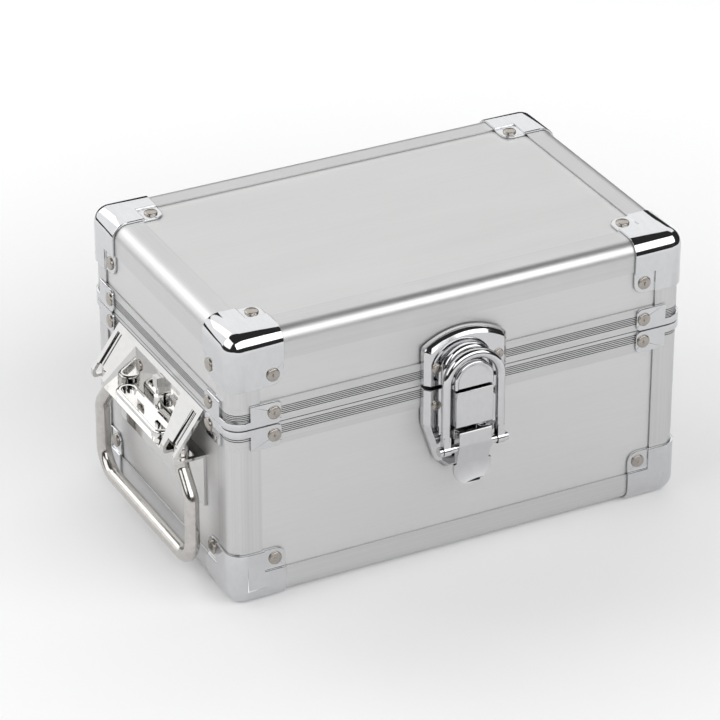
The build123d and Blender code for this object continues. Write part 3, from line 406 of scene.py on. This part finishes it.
# ---- foam ---------------------------------------------------------------------------------
def tool_foam():
    """The base's foam block, its cut edges softened and its faces a little uneven."""
    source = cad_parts["tool_foam"]
    foam = link(bpy.data.objects.new("tool_foam_block", source.data.copy()))
    remesh = foam.modifiers.new("cells", "REMESH")
    remesh.mode = "VOXEL"
    remesh.voxel_size = FOAM_VOXEL
    remesh.use_smooth_shade = True
    soften = foam.modifiers.new("soften", "SMOOTH")
    soften.factor = 0.6
    soften.iterations = 4
    dress(foam, "foam")
    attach(foam, "base")
    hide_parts("tool_foam")


def lid_foam():
    """The lid's egg-crate foam: flat where it is glued, with rows of soft peaks below."""
    low, high = (Vector(corner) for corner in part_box("lid_foam"))
    columns = EGG_COLUMNS
    rows = EGG_ROWS
    bm = bmesh.new()

    def layer(height):
        grid = []
        for j in range(rows + 1):
            y = low.y + (high.y - low.y) * j / rows
            row = []
            for i in range(columns + 1):
                x = low.x + (high.x - low.x) * i / columns
                row.append(bm.verts.new((x, y, height(x, y))))
            grid.append(row)
        return grid

    def peaks(x, y):
        edge = min(x - low.x, high.x - x, y - low.y, high.y - y)
        wave = math.cos(2 * math.pi * x / EGG_PITCH) * math.cos(2 * math.pi * y / EGG_PITCH)
        round_off = EGG_RIM_RISE * max(0.0, 1 - edge / EGG_RIM) ** 2
        return low.z + EGG_HEIGHT * (0.5 + 0.5 * wave) + round_off

    bottom = layer(peaks)
    top = layer(lambda x, y: high.z)
    for j in range(rows):
        for i in range(columns):
            bm.faces.new((bottom[j][i], bottom[j + 1][i], bottom[j + 1][i + 1], bottom[j][i + 1]))
            bm.faces.new((top[j][i], top[j][i + 1], top[j + 1][i + 1], top[j + 1][i]))
    for i in range(columns):
        bm.faces.new((bottom[0][i], bottom[0][i + 1], top[0][i + 1], top[0][i]))
        bm.faces.new((bottom[-1][i + 1], bottom[-1][i], top[-1][i], top[-1][i + 1]))
    for j in range(rows):
        bm.faces.new((bottom[j + 1][0], bottom[j][0], top[j][0], top[j + 1][0]))
        bm.faces.new((bottom[j][-1], bottom[j + 1][-1], top[j + 1][-1], top[j][-1]))
    foam = new_mesh("lid_foam_egg_crate", bm)
    dress(foam, "foam")
    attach(foam, "lid")
    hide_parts("lid_foam")


# ---- studio -------------------------------------------------------------------------------
def softbox(name, azimuth, elevation, distance, width, height, level):
    """A rectangular soft light that faces the object; level is its brightness as seen."""
    data = bpy.data.lights.new(name, "AREA")
    data.shape = "RECTANGLE"
    data.size = width
    data.size_y = height
    data.energy = level * math.pi * width * height
    obj = link(bpy.data.objects.new(name, data))
    obj.location = polar(azimuth, elevation, distance)
    obj.rotation_euler = (TARGET - obj.location).to_track_quat("-Z", "Y").to_euler()


def floor_plane(name, inner, outer, level, color):
    """A square floor with a square hole of the inner half-width, lit from within away from the middle."""
    bm = bmesh.new()
    loops = []
    for half in (inner, outer):
        corners = [(-half, -half), (half, -half), (half, half), (-half, half)]
        loops.append([bm.verts.new((x, y, 0.0)) for x, y in corners])
    if inner > 0:
        for i in range(4):
            j = (i + 1) % 4
            bm.faces.new((loops[0][i], loops[1][i], loops[1][j], loops[0][j]))
    else:
        bmesh.ops.delete(bm, geom=loops[0], context="VERTS")
        bm.faces.new(loops[1])
    bmesh.ops.recalc_face_normals(bm, faces=bm.faces)
    obj = new_mesh(name, bm, smooth=False)
    nodes = Nodes(name, color, 0.0, 0.9, Emission_Strength=level)
    nodes.shader.inputs["Emission Color"].default_value = (1.0, 1.0, 1.0, 1.0)
    mottled = nodes.noise((3.0, 3.0, 3.0), detail=2.0)
    nodes.color(nodes.blend(mottled, tuple(0.985 * c for c in color), color))
    span = nodes.node("VectorMath", operation="LENGTH")
    nodes.join(nodes.coords, span.inputs[0])
    glow = nodes.remap(span.outputs["Value"], SHADE_SHARE * level, level, SHADE_INNER, SHADE_OUTER)
    nodes.join(glow, nodes.shader.inputs["Emission Strength"])
    obj.data.materials.append(nodes.material)
    return obj


def make_floor():
    floor_plane("floor", 0.0, FLOOR_NEAR, 0.22, TABLE_WHITE)
    far = floor_plane("floor_far", FLOOR_NEAR, FLOOR_FAR, 1.1, TABLE_WHITE)
    far.visible_glossy = False
    far.visible_diffuse = False
    far.visible_shadow = False


def make_world():
    """A dim room for the metal to reflect, and plain white behind the object."""
    world = bpy.data.worlds.new("studio")
    bpy.context.scene.world = world
    world.use_nodes = True
    tree = world.node_tree
    tree.nodes.clear()
    output = tree.nodes.new("ShaderNodeOutputWorld")
    room = tree.nodes.new("ShaderNodeBackground")
    room.inputs["Color"].default_value = (1.0, 1.0, 1.02, 1.0)
    room.inputs["Strength"].default_value = ROOM_LEVEL
    behind = tree.nodes.new("ShaderNodeBackground")
    behind.inputs["Strength"].default_value = 1.1
    path = tree.nodes.new("ShaderNodeLightPath")
    mix = tree.nodes.new("ShaderNodeMixShader")
    tree.links.new(path.outputs["Is Camera Ray"], mix.inputs["Fac"])
    tree.links.new(room.outputs["Background"], mix.inputs[1])
    tree.links.new(behind.outputs["Background"], mix.inputs[2])
    tree.links.new(mix.outputs["Shader"], output.inputs["Surface"])


def make_lights():
    softbox("softbox_front", 14, 36, 1.7, 3.0, 1.25, 2.5)
    softbox("softbox_left", -93, 31, 1.6, 1.6, 1.2, 1.8)
    softbox("softbox_back", 160, 42, 1.8, 3.6, 1.5, 1.25)
    softbox("softbox_back_left", -143, 25, 1.8, 1.6, 1.7, 1.2)


def make_camera():
    data = bpy.data.cameras.new("camera")
    data.lens = CAMERA_LENS
    data.sensor_width = 36.0
    data.clip_start = 0.05
    data.clip_end = 60.0
    camera = link(bpy.data.objects.new("camera", data))
    a, e = CAMERA_AZIMUTH, CAMERA_ELEVATION
    back = Vector((math.sin(a) * math.cos(e), -math.cos(a) * math.cos(e), math.sin(e)))
    camera.location = CAMERA_AT
    camera.rotation_euler = (-back).to_track_quat("-Z", "Y").to_euler()
    bpy.context.scene.camera = camera


make_camera()
make_world()
make_floor()
make_lights()
dress_cad_nodes()
round_edges()
latch_hook()
tool_foam()
lid_foam()

bpy.context.scene.view_settings.view_transform = "Standard"
